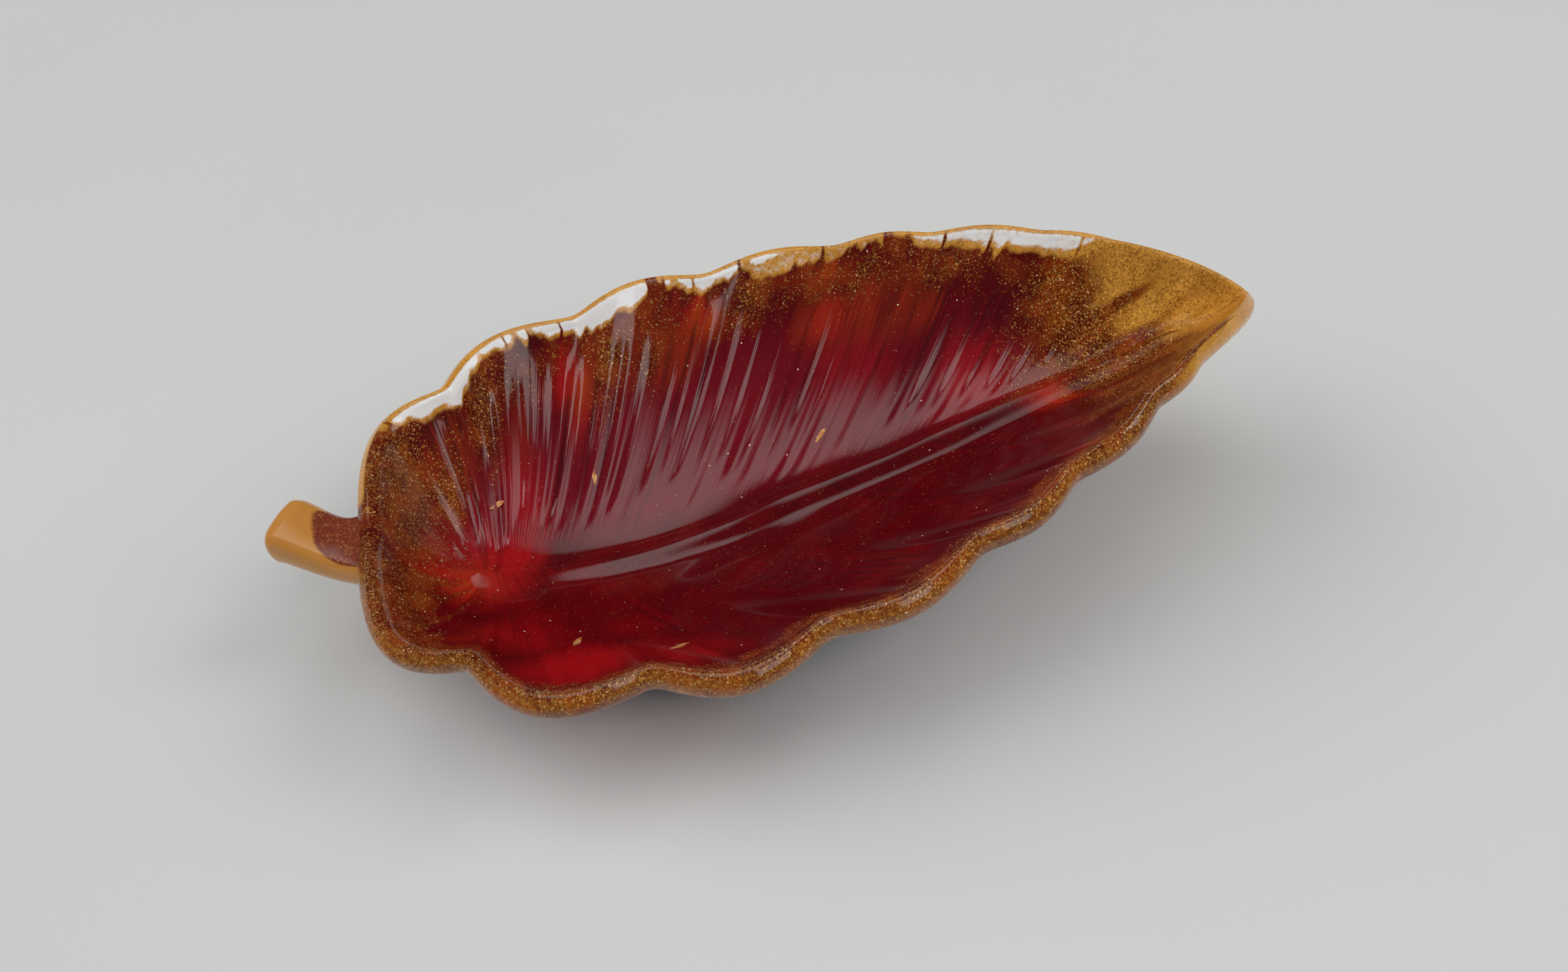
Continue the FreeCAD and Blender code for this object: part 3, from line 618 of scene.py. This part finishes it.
def castEpoxy(name):
    material, add = newMaterial(name)
    colour = {key: hexColour(value) for key, value in epoxy.items() if isinstance(value, str)}
    scale = {key: 1 / (value * mm) for key, value in epoxy.items() if key.endswith("Mm")}
    spot = add("TexCoord")["Object"]
    pigments, tones, vein = (add("Attribute", attribute_name=field)["Vector"]
                             for field in ("pigment", "tone", "vein"))
    mica, amber, clear = add("SeparateXYZ", {0: pigments})
    glow, orange, dark = add("SeparateXYZ", {0: tones})
    down, sided = add("SeparateXYZ", {0: vein})[1:]
    combShare = add("Math", {0: sided, 1: 0.0}, operation="MAXIMUM")[0]
    calm = add("Math", {0: sided, 1: 0.0}, operation="MINIMUM")[0]
    cloud, patch, grain = (
        add("TexNoise", {"Vector": spot, "Scale": scale[size], "Detail": detail})[0]
        for size, detail in (("driftMm", 4), ("patchMm", 3), ("grainMm", 2)))
    drawn = add("Mapping", {"Vector": vein, "Scale": (1.0, epoxy["streakPull"], 0.0)})[0]
    streak = add("TexNoise", {"Vector": drawn, "Scale": scale["streakMm"], "Detail": 3})[0]
    flakes = add("TexVoronoi", {"Vector": spot, "Scale": scale["flakeMm"]})["Color"]
    flakeTint = add("SeparateXYZ", {0: flakes})

    # red: crimson to bright red as painted glow, rose down the combed wall as a painted reflection of the
    # light overhead that the coat mirrors there too, then orange and maroon
    lit = add("Math", {0: cloud, 1: 0.5, 2: glow}, **timesPlus)[0]
    lit = add("MapRange", {0: lit, 1: 0.15, 2: 1.05}, **soft)[0]
    top, foot = (value * mm for value in epoxy["roseDrop"])
    lower = add("MapRange", {0: down, 1: top, 2: foot}, **soft)[0]
    paintedSheen = add("Math", {0: combShare, 1: lower}, **times)[0]
    paintedSheen = add("Math", {0: paintedSheen, 1: epoxy["roseShare"]}, **times)[0]
    shade = add("MapRange", {0: streak, 1: 0.3, 2: 0.65}, **soft)[0]
    shade = add("Math", {0: dark, 1: shade}, **times)[0]
    shade = add("Math", {0: shade, 1: 0.85}, **times)[0]
    red = colour["crimson"]
    for share, layer in ((lit, "brightRed"), (paintedSheen, "rose"), (orange, "orange"), (shade, "maroon")):
        red = add("Mix", {0: share, 6: red, 7: colour[layer]}, **mixed)[2]

    # mica: flakes of one size, fewer and fewer towards the red, each with its own shade and tilt
    loose = add("Math", {0: cloud, 1: 0.5}, **minus)[0]
    density = add("Math", {0: loose, 1: 0.5, 2: mica}, **timesPlus)[0]
    loose = add("Math", {0: streak, 1: 0.5}, **minus)[0]
    density = add("Math", {0: loose, 1: 0.35, 2: density}, **timesPlus)[0]
    density = add("MapRange", {0: density, 1: 0.0, 2: 1.0})[0]
    started = add("MapRange", {0: mica, 1: 0.0, 2: 0.12}, **soft)[0]
    density = add("Math", {0: density, 1: started}, **times)[0]
    draw = add("Math", {0: flakeTint[0], 1: -1.0}, **times)[0]
    draw = add("Math", {0: density, 1: 0.72, 2: draw}, **timesPlus)[0]
    micaShare = add("MapRange", {0: draw, 1: -0.04, 2: 0.04}, **soft)[0]
    golden = add("MapRange", {0: flakeTint[1], 1: 0.1, 2: 0.9}, **soft)[0]
    warm = add("Mix", {0: golden, 6: colour["micaBrown"], 7: colour["micaGold"]}, **mixed)[2]
    # painted glints: the brightest few flakes are painted pale, over their real tilt and metal
    paintedGlint = add("MapRange", {0: flakeTint[2], 1: 0.9, 2: 0.95}, **soft)[0]
    warm = add("Mix", {0: paintedGlint, 6: warm, 7: colour["micaGlint"]}, **mixed)[2]
    patchy = add("MapRange", {0: patch, 1: 0.42, 2: 0.62}, **soft)[0]
    rusty = add("Mix", {0: patchy, 6: colour["micaUnder"], 7: colour["rust"]}, **mixed)[2]
    sunk = add("MapRange", {0: density, 1: 0.05, 2: 0.6})[0]
    under = add("Mix", {0: sunk, 6: red, 7: rusty}, **mixed)[2]
    laid = add("Math", {0: micaShare, 1: 0.62}, **times)[0]
    body = add("Mix", {0: laid, 6: under, 7: warm}, **mixed)[2]

    # amber with a little mica, then the clear edge painted near white for the lit board seen through it,
    # both with a ragged border
    honeyed = add("MapRange", {0: cloud, 1: 0.35, 2: 0.65}, **soft)[0]
    honey = add("Mix", {0: honeyed, 6: colour["amberDeep"], 7: colour["amber"]}, **mixed)[2]
    flecks = add("MapRange", {0: flakeTint[1], 1: 0.85, 2: 1.0}, **soft)[0]
    honey = add("Mix", {0: flecks, 6: honey, 7: colour["micaGold"]}, **mixed)[2]
    amberShare = add("Math", {0: grain, 1: 0.3, 2: amber}, **timesPlus)[0]
    amberShare = add("MapRange", {0: amberShare, 1: 0.3, 2: 0.95}, **soft)[0]
    body = add("Mix", {0: amberShare, 6: body, 7: honey}, **mixed)[2]
    ragged = add("Math", {0: grain, 1: 0.5}, **minus)[0]
    ragged = add("Math", {0: ragged, 1: 0.7, 2: clear}, **timesPlus)[0]
    window = add("MapRange", {0: ragged, 1: 0.2, 2: 0.8}, **soft)[0]
    body = add("Mix", {0: window, 6: body, 7: colour["clear"]}, **mixed)[2]

    # loose specks of metal leaf, far apart
    dust = add("TexVoronoi", {"Vector": spot, "Scale": scale["speckMm"]})["Distance"]
    speck = add("MapRange", {0: dust, 1: 0.05, 2: 0.03}, **soft)[0]
    body = add("Mix", {0: speck, 6: body, 7: colour["speck"]}, **mixed)[2]

    # each flake leans its own way and is a little metallic
    shown = add("Math", {0: 1.0, 1: window}, **minus)[0]
    glint = add("Math", {0: micaShare, 1: shown}, **times)[0]
    tilt = add("VectorMath", {0: flakes, 1: (0.5, 0.5, 0.5)}, **minus)[0]
    tilt = add("VectorMath", {0: tilt, "Scale": glint}, operation="SCALE")[0]
    facing = add("NewGeometry")["Normal"]
    leaning = add("VectorMath", {0: facing, 1: tilt}, operation="ADD")[0]
    leaning = add("VectorMath", {0: leaning}, operation="NORMALIZE")[0]
    metal = add("Math", {0: glint, 1: 0.35}, **times)[0]
    rough = add("Math", {0: glint, 1: 0.2, 2: epoxy["roughness"]}, **timesPlus)[0]

    # fine lines along the veins break up what the bright skin mirrors; the near wall and tip mirror less
    lines = add("Mapping", {"Vector": vein, "Scale": (1.0, epoxy["combPull"], 0.0)})[0]
    lines = add("TexNoise", {"Vector": lines, "Scale": scale["combMm"], "Detail": 2})[0]
    ridge = add("Math", {0: lines, 1: combShare}, **times)[0]
    deep = epoxy["combDeepMm"] * mm
    combed = add("Bump", {"Height": ridge, "Strength": 0.5, "Distance": deep})[0]
    coat = add("Math", {0: calm, 1: epoxy["calmCoat"], 2: epoxy["coat"]}, **timesPlus)[0]
    surface = add("BsdfPrincipled", {
        "Base Color": body, "Metallic": metal, "Roughness": rough, "Normal": leaning, "IOR": resinIor,
        "Specular IOR Level": 0.05, "Coat Weight": coat, "Coat Roughness": epoxy["coatRoughness"],
        "Coat IOR": resinIor, "Coat Normal": combed})[0]
    add("OutputMaterial", {"Surface": surface})
    return material


def rowRun(first, last):
    # rows of the skin from one border to another
    return list(range(rows[first], rows[last] + 1))


pouredEpoxy = castEpoxy("cast_epoxy_colour_pours")
tuck = rows["bottom"] + 1
farSkin, nearSkin = tucked(farHalf), tucked(nearHalf)
every = list(range(len(sweeps)))
toTip, pastTip = every[:tipColumn + 1], every[tipColumn:]
floorPart = slice(0, rows["border"] + 1)
skirtPart = slice(rows["level"], rows["slab"] + 1)
slabPart = slice(rows["slab"], rows["bottom"] + 1)
rimRows = [tuck] + rowRun("border", "level")
goldRows = [tuck] + rowRun("border", "clear") + rowRun("rimEnd", "level")
clearRows = rowRun("clear", "rimEnd")
pourRing("red_bowl_pour", ["red_bowl"], pouredEpoxy,
         [floorPart, slice(tuck, None), skirtPart], [("last", leaf["baseLevel"])])
pourRun("gold_rim_front_pour", ["gold_rim_front"], pouredEpoxy,
        [strip(nearSkin, rimRows, toTip)])
pourRun("gold_rim_back_pour", ["gold_rim_back"], pouredEpoxy,
        [strip(farSkin, goldRows, toTip)])
pourRun("clear_edge_back_pour", ["clear_edge_back"], pouredEpoxy,
        [strip(farSkin, clearRows, toTip)])
pourRun("amber_tip_pour", ["amber_tip"], pouredEpoxy,
        [strip(farSkin, rimRows, pastTip), strip(nearSkin, rimRows, pastTip[-2::-1])])


# Base: the mould's open side, a dark burgundy pour that levelled itself, with slow swirls and a soft shine.
slab = dict(deep="#2E050B", swirl="#5A0A14", swirlMm=14.0, rippleMm=0.4, roughness=0.22)


def levelledEpoxy():
    material, add = newMaterial("levelled_dark_epoxy")
    spot = add("TexCoord")["Object"]
    scale = 1 / (slab["swirlMm"] * mm)
    swirl = add("TexNoise", {"Vector": spot, "Scale": scale, "Detail": 5, "Distortion": 1.2})[0]
    share = add("MapRange", {0: swirl, 1: 0.35, 2: 0.7}, **soft)[0]
    deep, pale = hexColour(slab["deep"]), hexColour(slab["swirl"])
    shades = add("Mix", {0: share, 6: deep, 7: pale}, **mixed)[2]
    ripple = add("Bump", {"Height": swirl, "Strength": 0.08, "Distance": slab["rippleMm"] * mm})[0]
    surface = add("BsdfPrincipled", {
        "Base Color": shades, "Roughness": slab["roughness"], "IOR": resinIor, "Normal": ripple})[0]
    add("OutputMaterial", {"Surface": surface})
    return material


pourRing("base_slab_pour", ["base_slab"], levelledEpoxy(), [slabPart],
         [("first", leaf["baseLevel"]), ("last", 0)])

# Stem: a rounded bar that flares from the rim and swings level to the far side. Sections are (station, side,
# height, lean and swing in degrees, width, depth); the last one runs on straight to a rounded end.
stem = dict(
    sections=((3.4, 0.0, 19.8, -22.0, 0.0, 15.0, 5.3), (-2.8, 1.3, 20.2, 0.0, 15.0, 10.0, 5.8),
              (-8.81, 4.5, 22.7, 0.0, 30.0, 9.3, 6.7)),
    straight=2.6, corner=2.6, cornerSpare=0.05, squareness=2.2, endRound=1.6, endRings=(0.66, 0.33, 0.0),
    aroundSteps=96, alongSteps=20, roundSteps=9,
    # top and glow are painted light: the top painted paler as if lit from above, glow painted low on the side
    top="#C88840", side="#CE8A2C", glow="#E2A348", tongue="#7A3624", tongueGold="#A8683C",
    cloudMm=3.5, grainMm=0.7, upper=(-1.0, 2.6), lower=(-1.5, -3.0), paintedLowGlow=0.5,
    tongueReach=5.8, tongueHalf=5.2, tongueEdge=(-0.8, 0.8), tongueSide=(-1.0, 1.4), tongueLean=0.35,
)


def stemSkin():
    # rounded sections along a smooth line, a straight run with a rounded edge, then the end face
    line = throughPoints(stem["sections"], stem["alongSteps"])
    swing = np.radians(line[-1, 4])
    turn = np.linspace(0, np.pi / 2, stem["roundSteps"])
    run = stem["straight"] - stem["endRound"] * (1 - np.sin(turn))
    inset = stem["endRound"] * (1 - np.cos(turn))
    cap = np.repeat(line[-1:], len(turn), axis=0)
    cap[:, 0] -= np.cos(swing) * run
    cap[:, 1] += np.sin(swing) * run
    cap[:, 5:] -= 2 * inset[:, None]
    line = np.vstack([line, cap, np.repeat(cap[-1:], len(stem["endRings"]), axis=0)])
    shrink = np.append(np.ones(len(line) - len(stem["endRings"])), stem["endRings"])[:, None]
    station, side, height, lean, swing, width, depth = line.T[..., None]
    lean, swing = np.radians(lean), np.radians(swing)
    corner = np.minimum(stem["corner"], depth / 2 - stem["cornerSpare"])
    # each section: corner centres pushed out by a circle
    angle = np.linspace(0, 2 * np.pi, stem["aroundSteps"], endpoint=False)[None, :]
    c, s = np.cos(angle), np.sin(angle)
    across = ((width / 2 - corner) * np.clip(stem["squareness"] * c, -1, 1) + corner * c) * shrink
    up = ((depth / 2 - corner) * np.clip(stem["squareness"] * s, -1, 1) + corner * s) * shrink
    rings = np.stack([station + up * np.sin(lean) + across * np.sin(swing), side + across * np.cos(swing),
                      height + up * np.cos(lean)], -1)
    start = rings[:1] * 0 + rings[:1].mean(axis=1, keepdims=True)
    return [np.concatenate(pair) for pair in ((start, rings), (up[:1], up), (across[:1], across))]


def castAmber():
    # amber epoxy: painted light, tan where light enters the top and a painted glow low on the side,
    # deep honey on the side, and a tongue of mica from the bowl
    material, add = newMaterial("cast_amber_epoxy")
    colour = {key: hexColour(value) for key, value in stem.items() if isinstance(value, str)}
    spot = add("TexCoord")["Object"]
    shape = add("Attribute", attribute_name="stemField")["Vector"]
    upper, tongue, lower = add("SeparateXYZ", {0: shape})
    cloud = add("TexNoise", {"Vector": spot, "Scale": 1 / (stem["cloudMm"] * mm), "Detail": 4})[0]
    grain = add("TexNoise", {"Vector": spot, "Scale": 1 / (stem["grainMm"] * mm), "Detail": 2})[0]
    flakes = add("TexVoronoi", {"Vector": spot, "Scale": 1 / (epoxy["flakeMm"] * mm)})["Color"]
    flakeTint = add("SeparateXYZ", {0: flakes})
    # painted light: the top side turns from honey to tan
    lit = add("Math", {0: cloud, 1: 0.4, 2: upper}, **timesPlus)[0]
    lit = add("MapRange", {0: lit, 1: 0.3, 2: 1.0}, **soft)[0]
    body = add("Mix", {0: lit, 6: colour["side"], 7: colour["top"]}, **mixed)[2]
    # painted glow low on the side
    body = add("Mix", {0: lower, 6: body, 7: colour["glow"]}, **mixed)[2]
    flecks = add("MapRange", {0: flakeTint[1], 1: 0.9, 2: 0.99}, **soft)[0]
    body = add("Mix", {0: flecks, 6: body, 7: hexColour(epoxy["micaGold"])}, **mixed)[2]
    ragged = add("Math", {0: grain, 1: 0.5}, **minus)[0]
    ragged = add("Math", {0: ragged, 1: 0.5, 2: tongue}, **timesPlus)[0]
    lick = add("MapRange", {0: ragged, 1: 0.2, 2: 0.8}, **soft)[0]
    golden = add("MapRange", {0: flakeTint[0], 1: 0.8, 2: 0.98}, **soft)[0]
    brown = add("Mix", {0: golden, 6: colour["tongue"], 7: colour["tongueGold"]}, **mixed)[2]
    body = add("Mix", {0: lick, 6: body, 7: brown}, **mixed)[2]
    rough = add("Math", {0: lick, 1: 0.1, 2: 0.14}, **timesPlus)[0]
    surface = add("BsdfPrincipled", {
        "Base Color": body, "Roughness": rough, "IOR": resinIor, "Specular IOR Level": 0.1,
        "Coat Weight": 0.8, "Coat Roughness": 0.05})[0]
    add("OutputMaterial", {"Surface": surface})
    return material


stemPoints, stemUp, stemAcross = stemSkin()
# painted light: share of tan on the lit top, and of painted glow low on the side
litTopShare = eased(*stem["upper"], stemUp)
lowGlowShare = stem["paintedLowGlow"] * eased(*stem["lower"], stemUp)
tongueEnd = stem["tongueReach"] * (1 - (stemAcross / stem["tongueHalf"]) ** 4)
tongueShare = eased(*stem["tongueEdge"], stemPoints[..., 0] + tongueEnd)
tongueShare = tongueShare * eased(*stem["tongueSide"], stemUp + stem["tongueLean"] * stemAcross)
stemFields = {"stemField": np.stack([litTopShare, tongueShare, lowGlowShare], -1)}
stemFaces = gridFaces(*stemPoints.shape[:2], loopColumns=True)
addPiece("amber_stem_pour", placed(stemPoints), stemFaces, stemFields,
         ["amber_stem"], castAmber())


# Metal leaf: torn slivers that lie in the face of the bowl. Places are (sweep, way up the wall, side, turn).
sliver = dict(
    places=((0.246, 0.412, 1, 20), (0.388, 0.407, 1, 80), (0.6, 0.342, 1, 30), (0.318, 0.578, -1, 60),
            (0.393, 0.72, -1, 10)),
    length=3.2, width=0.9, thickness=0.12, proud=0.1, bend=0.15, crumple=0.14, pointPower=1.7,
    lengthSteps=25, widthSteps=7, firstSeed=41, leastWide=0.7, torn=0.6, besides=(0.01, 0.02),
    # pale is a painted glint along the creases of the leaf
    copper="#C9743C", pale="#E8B27A", creaseMm=0.5, creaseDeepMm=0.1,
)


def copperLeaf():
    # torn copper leaf under resin: a warm dull glint, and painted glints that make it paler along the creases
    material, add = newMaterial("torn_copper_leaf")
    spot = add("TexCoord")["Object"]
    scale = 1 / (sliver["creaseMm"] * mm)
    crease = add("TexNoise", {"Vector": spot, "Scale": scale, "Detail": 3})[0]
    # painted glint: paler along the creases
    share = add("MapRange", {0: crease, 1: 0.35, 2: 0.65}, **soft)[0]
    copper, pale = hexColour(sliver["copper"]), hexColour(sliver["pale"])
    tone = add("Mix", {0: share, 6: copper, 7: pale}, **mixed)[2]
    deep = sliver["creaseDeepMm"] * mm
    bump = add("Bump", {"Height": crease, "Strength": 0.5, "Distance": deep})[0]
    surface = add("BsdfPrincipled", {
        "Base Color": tone, "Metallic": 0.3, "Roughness": 0.4, "Normal": bump})[0]
    add("OutputMaterial", {"Surface": surface})
    return material


def sliverSkin(sweep, way, side, turn, seed):
    # a pointed lens in plan, crumpled by drift, with a top and an under face, laid on the wall
    lengthwise = np.linspace(-1, 1, sliver["lengthSteps"])
    u, v = np.meshgrid(lengthwise, np.linspace(-1, 1, sliver["widthSteps"]), indexing="ij")
    taper = 1 - np.abs(u) ** sliver["pointPower"]
    ragged = sliver["leastWide"] + sliver["torn"] * drift(u * 3 + 7, 0 * u, seed)
    half = sliver["width"] / 2 * taper * ragged
    x, y = u * sliver["length"] / 2, v * half + sliver["bend"] * np.sin(2 * u)
    z = sliver["proud"] + sliver["crumple"] * (drift(u * 2.5 + 9, v * 1.5 + 9, seed + 1) - 0.5) * taper
    top = np.stack([x, y, z], -1)
    under = np.stack([x, y, z - sliver["thickness"] * taper], -1)
    onward, upward = sliver["besides"]
    spots = ((sweep, way), (sweep + onward, way), (sweep, way + upward))
    here, along, up = (wallPoint(np.array(a), np.array(b)) for a, b in spots)
    normal = np.cross(along - here, up - here)
    normal /= np.linalg.norm(normal)
    flip = np.array([1, side, 1])
    here, normal = here * flip, normal * flip
    normal *= np.sign(normal[2])
    spin = Vector((0, 0, 1)).rotation_difference(Vector(normal)) @ Quaternion((0, 0, 1), math.radians(turn))
    loop = np.concatenate([top, under[:, ::-1]], axis=1)
    return loop @ np.array(spin.to_matrix()).T + here


leafMetal = copperLeaf()
for number, place in enumerate(sliver["places"]):
    node = "metal_flake_%d" % (number + 1)
    points = sliverSkin(*place, sliver["firstSeed"] + number)
    faces = gridFaces(*points.shape[:2], loopColumns=True)
    addPiece(node + "_sliver", placed(points), faces, {}, [node], leafMetal)


# Studio: a pale board in a dim room with a paler wall low down and a soft-edged light overhead. A large
# soft lamp at each side lights the dish unmirrored, and two small ones are mirrored in it as streaks.
studio = dict(
    tableSize=6.0, tableGap=0.00005, table="#DDDEDD", tableGrain="#D6D7D6", mottlePerMetre=6.0,
    room="#E8EAEA", roomStrength=0.07, wallStrength=0.55, wallTop=(8.0, 11.0),
    overhead=dict(towards=(-0.08, 0.1, 1.0), inner=11.0, outer=28.0, strength=1.9),
    lamps=dict(
        left=dict(place=(-1.8, 0.7, 1.6), size=2.0, watts=31.5, mirrored=False),
        right=dict(place=(1.9, -0.7, 1.7), size=2.0, watts=27.0, mirrored=False),
        front=dict(place=(0.4, -1.3, 2.0), size=0.8, watts=4.2, mirrored=True),
        beside=dict(place=(1.7, -0.1, 1.7), size=0.8, watts=5.0, mirrored=True),
    ),
)


def paleTable():
    # painted board, rolled on: flat and matt, with a faint slow mottle
    material, add = newMaterial("matt_pale_table")
    spot = add("TexCoord")["Object"]
    mottle = add("TexNoise", {"Vector": spot, "Scale": studio["mottlePerMetre"], "Detail": 3})[0]
    grain, plain = hexColour(studio["tableGrain"]), hexColour(studio["table"])
    tone = add("Mix", {0: mottle, 6: grain, 7: plain}, **mixed)[2]
    surface = add("BsdfPrincipled", {"Base Color": tone, "Roughness": 0.6})[0]
    add("OutputMaterial", {"Surface": surface})
    return material


reach = studio["tableSize"] / 2
corners = [(-reach, -reach, 0), (reach, -reach, 0), (reach, reach, 0), (-reach, reach, 0)]
tableMesh = bpy.data.meshes.new("table")
tableMesh.from_pydata(corners, [], [(0, 1, 2, 3)])
tableMesh.materials.append(paleTable())
table = bpy.data.objects.new("table", tableMesh)
table.location.z = -studio["tableGap"]
bpy.context.scene.collection.objects.link(table)

world = bpy.data.worlds.new("room")
bpy.context.scene.world = world
world.use_nodes = True
add = partial(addNode, world.node_tree)
sky = world.node_tree.nodes["Background"]
sky.inputs[0].default_value = hexColour(studio["room"])
overhead = studio["overhead"]
middle = Vector(overhead["towards"]).normalized()
outer, inner = (math.cos(math.radians(overhead[name])) for name in ("outer", "inner"))
low, high = (math.sin(math.radians(angle)) for angle in studio["wallTop"])
direction = add("TexCoord")["Generated"]
towards = add("VectorMath", {0: direction, 1: middle}, operation="DOT_PRODUCT")["Value"]
shine = add("MapRange", {0: towards, 1: outer, 2: inner}, **soft)[0]
height = add("SeparateXYZ", {0: direction})[2]
wall = add("MapRange", {0: height, 1: high, 2: low}, **soft)[0]
wall = add("Math", {0: wall, 1: studio["wallStrength"], 2: studio["roomStrength"]}, **timesPlus)[0]
light = add("Math", {0: shine, 1: overhead["strength"], 2: wall}, **timesPlus)[0]
world.node_tree.links.new(light, sky.inputs[1])
for name, settings in studio["lamps"].items():
    lamp = bpy.data.lights.new(name, "AREA")
    lamp.size = settings["size"]
    lamp.energy = settings["watts"]
    holder = bpy.data.objects.new(name, lamp)
    holder.location = settings["place"]
    holder.rotation_euler = (-Vector(settings["place"])).to_track_quat("-Z", "Y").to_euler()
    holder.visible_glossy = settings["mirrored"]
    bpy.context.scene.collection.objects.link(holder)
print("studio:", len(studio["lamps"]), "lamps")

# Camera at the photograph's place, in millimetres: forward is where it looks, roll leans it to the right.
view = dict(place=(-21.99, -117.57, 145.39), forward=(0.12082, 0.65616, -0.74489), roll=-6.0, lens=25.967,
            sensor=36.0, clipStart=0.005)
camera = bpy.data.objects.new("camera", bpy.data.cameras.new("camera"))
camera.data.sensor_width = view["sensor"]
camera.data.lens = view["lens"]
camera.data.clip_start = view["clipStart"]
camera.location = Vector(view["place"]) * mm
level = Vector(view["forward"]).to_track_quat("-Z", "Y")
camera.rotation_mode = "QUATERNION"
camera.rotation_quaternion = level @ Quaternion((0, 0, 1), math.radians(view["roll"]))
bpy.context.scene.collection.objects.link(camera)
bpy.context.scene.camera = camera
bpy.context.scene.view_settings.view_transform = "Standard"
print("camera up:", [round(v, 4) for v in camera.rotation_quaternion @ Vector((0, 1, 0))])
